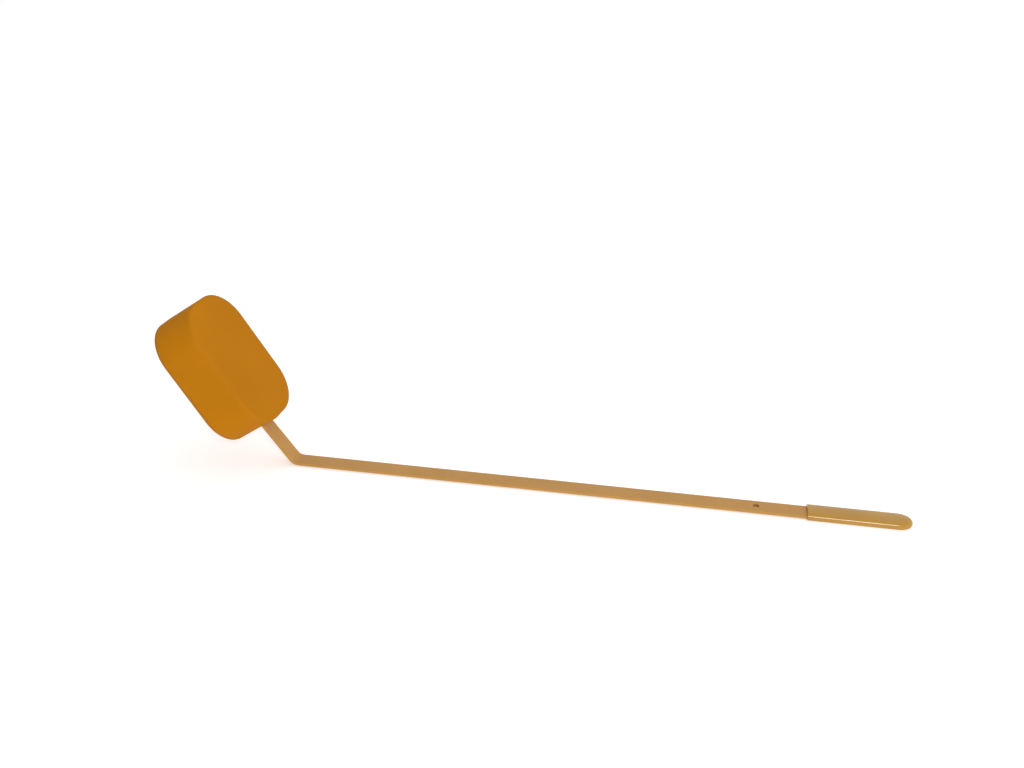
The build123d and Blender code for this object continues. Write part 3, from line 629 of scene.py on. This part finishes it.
# battery springs, cells and the antenna's winding, in the head's millimetres
CELLS_V = (-21.9, -7.3, 7.3, 21.9)
CELLS_W = -21.1
CELL_FLAT_U = 38.3          # flat end of a cell that points away from the strip
WELL_SPAN = 120.0           # a turned cell's u is this less the other's
SPRING_LENGTH = 6.8
SPRING_TURNS = 4.5
SPRING_STEPS = 22
SPRING_WIRE = 0.3           # wire's radius
SPRING_SIDES = 8
SPRING_WIDE = 3.4
SPRING_NARROW = 2.2
LATHE_SIDES = 40
CAN_PROFILE = (
    (0.0, 0.0), (0.0, 4.4), (0.3, 4.9), (0.3, 5.6), (0.05, 6.1), (0.25, 6.7), (0.8, 6.95),
    (48.2, 6.95), (48.8, 6.55), (48.9, 5.9), (48.6, 5.3), (48.5, 3.3), (48.8, 2.9),
    (49.9, 2.7), (50.2, 2.4), (50.2, 0.0),
)
JACKET_PROFILE = ((0.45, 6.97), (0.45, 7.06), (0.6, 7.1), (48.3, 7.1), (48.45, 7.06), (48.45, 6.97))


def cell_point(index, along, radius, turn):
    """Point about a cell's axis; every second cell is turned end for end."""
    turned = index % 2 == 1
    u = WELL_SPAN - CELL_FLAT_U - along if turned else CELL_FLAT_U + along
    v = CELLS_V[index] + radius * math.cos(turn)
    return in_head(u, v, CELLS_W + radius * math.sin(turn))


def make_springs(materials):
    """Wound contact springs in place of the CAD envelopes."""
    made = bmesh.new()
    for index in range(len(CELLS_V)):
        points = []
        steps = int(SPRING_TURNS * SPRING_STEPS)
        for i in range(steps + 1):
            share = i / steps
            eased = share * share * (3 - 2 * share)
            along = SPRING_WIRE + (SPRING_LENGTH - 2 * SPRING_WIRE) * eased
            radius = SPRING_WIDE + (SPRING_NARROW - SPRING_WIDE) * share - SPRING_WIRE
            turn = 2 * math.pi * SPRING_TURNS * share
            points.append(cell_point(index, along - SPRING_LENGTH, radius, turn))
        tube(made, points, SPRING_WIRE * MM, SPRING_SIDES)
    springs = add_object("contact_springs", made)
    finish_piece(springs, "zinc_steel", ["battery_springs"], materials)


def turned_cells(name, profile, looped):
    """One mesh of every cell's profile, turned about its axis."""
    made = bmesh.new()
    turns = [2 * math.pi * k / LATHE_SIDES for k in range(LATHE_SIDES)]
    for index in range(len(CELLS_V)):
        rings = [[cell_point(index, along, radius, t) for t in turns] for along, radius in profile]
        skin(made, rings, looped)
    bmesh.ops.remove_doubles(made, verts=made.verts, dist=POINT_WELD)
    bmesh.ops.recalc_face_normals(made, faces=made.faces)
    return add_object(name, made)


def make_cells(materials):
    """Crimped steel cans and their shrink sleeves in place of the CAD cells."""
    cans = turned_cells("cell_cans", CAN_PROFILE, False)
    finish_piece(cans, "zinc_steel", [], materials)
    jackets = turned_cells("cell_jackets", JACKET_PROFILE, True)
    finish_piece(jackets, "cell_wrap", ["battery_cells"], materials)


WINDING_CENTRE = (133.0, 5.0, 12.0)     # middle along u, and corner centres off it along u and v
WINDING_CORNER = 30.0
WINDING_FLOOR = -27.5
WINDING_SUNK = 0.5
WINDING_DEPTH = 8.0
WIRE_PITCH = 0.7
WIRE_LAYERS = 10
WIRE_STEPS = 6
CORNER_STEPS = 16


def winding_section():
    """Inset and height round the winding's section, scalloped by the wires on its outer side."""
    radius = WIRE_PITCH / 2
    section = []
    for layer in range(WIRE_LAYERS):
        middle = WINDING_FLOOR + radius + WIRE_PITCH * layer
        for step in range(WIRE_STEPS + 1):
            turn = math.pi * (step / WIRE_STEPS - 0.5)
            section.append((WINDING_SUNK + radius * (1 - math.cos(turn)), middle + radius * math.sin(turn)))
    top = WINDING_FLOOR + WIRE_PITCH * WIRE_LAYERS
    return section + [(WINDING_DEPTH, top), (WINDING_DEPTH, WINDING_FLOOR)]


def make_winding(materials):
    """Layered winding in place of the CAD bundle."""
    middle, off_u, off_v = WINDING_CENTRE
    rings = []
    for quarter, (sign_u, sign_v) in enumerate(((1, 1), (-1, 1), (-1, -1), (1, -1))):
        for step in range(CORNER_STEPS + 1):
            turn = math.pi / 2 * (quarter + step / CORNER_STEPS)
            ring = []
            for inset, w in winding_section():
                reach = WINDING_CORNER - inset
                u = middle + sign_u * off_u + reach * math.cos(turn)
                v = sign_v * off_v + reach * math.sin(turn)
                ring.append(in_head(u, v, w))
            rings.append(ring)
    made = bmesh.new()
    skin(made, rings, looped=True)
    bmesh.ops.remove_doubles(made, verts=made.verts, dist=POINT_WELD)
    bmesh.ops.recalc_face_normals(made, faces=made.faces)
    finish_piece(add_object("coil_winding", made), "copper_wire", ["antenna_coil"], materials)


# legs of the packaged circuits: middle u and v, length, width, pitch, and whether on all sides
BOARD_TOP = 15.0
LEGGED = (
    (98.0, -14.0, 12.0, 12.0, 0.8, True),
    (72.0, 4.0, 14.0, 14.0, 1.0, True),
    (72.0, 24.0, 8.0, 5.0, 1.27, False),
)
LEG_PATH = ((-0.05, 0.75), (0.4, 0.75), (0.75, 0.14), (1.2, 0.14))
LEG_THICK = 0.14
LEG_FREE_ENDS = 1.6         # stretch of a package's side without legs, both ends together
LEG_WIDTH = 0.4


def add_leg(made, u, v, outward):
    """Gull-wing leg from a package's side down to the board."""
    sideways = (-outward[1], outward[0])
    rings = []
    for out, height in LEG_PATH:
        ring = []
        for side, up in ((-1, 0), (1, 0), (1, 1), (-1, 1)):
            place_u = u + outward[0] * out + sideways[0] * side * LEG_WIDTH / 2
            place_v = v + outward[1] * out + sideways[1] * side * LEG_WIDTH / 2
            ring.append(in_head(place_u, place_v, BOARD_TOP + height + (up - 1) * LEG_THICK))
        rings.append(ring)
    rows = skin(made, rings)
    made.faces.new(list(reversed(rows[0])))
    made.faces.new(rows[-1])


def make_chip_legs(materials):
    """Rows of legs along each package."""
    made = bmesh.new()
    for u, v, length, width, pitch, all_sides in LEGGED:
        sides = [((0, 1), width / 2, length), ((0, -1), width / 2, length)]
        if all_sides:
            sides += [((1, 0), length / 2, width), ((-1, 0), length / 2, width)]
        for outward, reach, edge in sides:
            count = int((edge - LEG_FREE_ENDS) / pitch) + 1
            for k in range(count):
                shift = (k - (count - 1) / 2) * pitch
                leg_u = u + outward[0] * reach + outward[1] * shift
                leg_v = v + outward[1] * reach + outward[0] * shift
                add_leg(made, leg_u, leg_v, outward)
    bmesh.ops.recalc_face_normals(made, faces=made.faces)
    finish_piece(add_object("chip_legs", made), "shield_tin", [], materials)


# ---- studio ------------------------------------------------------------------------------
def aimed(obj, target):
    """Turns a camera or light at target."""
    obj.rotation_mode = "QUATERNION"
    obj.rotation_quaternion = (target - obj.location).to_track_quat("-Z", "Y")


def make_floor():
    """Round flat floor."""
    mesh = bpy.data.meshes.new("studio_floor")
    made = bmesh.new()
    bmesh.ops.create_circle(made, cap_ends=True, segments=96, radius=FLOOR_RADIUS)
    made.to_mesh(mesh)
    made.free()
    floor = bpy.data.objects.new("studio_floor", mesh)
    floor.location = (CENTRE.x, CENTRE.y, FLOOR_Z - FLOOR_DROP)
    bpy.context.collection.objects.link(floor)
    mesh.materials.append(floor_material())


def make_backdrop():
    """White dome round the scene that only the camera sees."""
    mesh = bpy.data.meshes.new("backdrop")
    made = bmesh.new()
    bmesh.ops.create_icosphere(made, subdivisions=5, radius=DOME_RADIUS)
    below = [vert for vert in made.verts if vert.co.z < -DOME_RADIUS * DOME_BELOW]
    bmesh.ops.delete(made, geom=below, context="VERTS")
    made.to_mesh(mesh)
    made.free()
    dome = bpy.data.objects.new("backdrop", mesh)
    dome.location = (CENTRE.x, CENTRE.y, FLOOR_Z)
    for ray in ("diffuse", "glossy", "transmission", "volume_scatter", "shadow"):
        setattr(dome, "visible_" + ray, False)
    bpy.context.collection.objects.link(dome)
    shader = Shader("backdrop")
    shader.surface.inputs["Emission Color"].default_value = (1.0, 1.0, 1.0, 1.0)
    shader.surface.inputs["Emission Strength"].default_value = 1.0
    mesh.materials.append(shader.finish((1.0, 1.0, 1.0, 1.0), 1.0, Specular_IOR_Level=0.0))


def make_world():
    """White surroundings, a little brighter on the side that SKY_SLOPE points to."""
    world = bpy.data.worlds.new("studio")
    world.use_nodes = True
    nodes = world.node_tree.nodes
    links = world.node_tree.links
    direction = nodes.new("ShaderNodeTexCoord").outputs["Generated"]
    slope = nodes.new("ShaderNodeVectorMath")
    slope.operation = "DOT_PRODUCT"
    slope.inputs[1].default_value = SKY_SLOPE
    level = nodes.new("ShaderNodeMath")
    level.inputs[1].default_value = SKY_LEVEL
    links.new(direction, slope.inputs[0])
    links.new(slope.outputs["Value"], level.inputs[0])
    links.new(level.outputs["Value"], nodes["Background"].inputs["Strength"])
    nodes["Background"].inputs["Color"].default_value = (1.0, 1.0, 1.0, 1.0)
    bpy.context.scene.world = world


def make_key():
    """Small bright light on the camera's side, above the object and aimed at its middle."""
    data = bpy.data.lights.new("key", "AREA")
    data.shape = "RECTANGLE"
    data.size, data.size_y = KEY_SIZE
    data.energy = KEY_POWER
    key = bpy.data.objects.new("key", data)
    key.location = CENTRE + KEY_DIRECTION.normalized() * KEY_DISTANCE
    bpy.context.collection.objects.link(key)
    aimed(key, CENTRE)


def make_camera():
    """Camera at the product view's angle."""
    data = bpy.data.cameras.new("camera")
    data.lens = CAMERA_LENS
    data.sensor_width = CAMERA_SENSOR
    data.clip_end = CAMERA_CLIP_END
    camera = bpy.data.objects.new("camera", data)
    azimuth = math.radians(CAMERA_AZIMUTH)
    elevation = math.radians(CAMERA_ELEVATION)
    back = Vector((
        math.sin(azimuth) * math.cos(elevation),
        -math.cos(azimuth) * math.cos(elevation),
        math.sin(elevation),
    ))
    camera.location = AIM + back * (CAMERA_REACH * SIZE.x)
    bpy.context.collection.objects.link(camera)
    aimed(camera, AIM)
    bpy.context.scene.camera = camera


# ---- the scene ---------------------------------------------------------------------------
bpy.context.scene.view_settings.view_transform = "Standard"
make_camera()
make_world()
make_key()
make_floor()
make_backdrop()
materials = make_materials()
dress_nodes(materials)
make_sleeve(materials)
make_springs(materials)
make_winding(materials)
make_cells(materials)
make_chip_legs(materials)
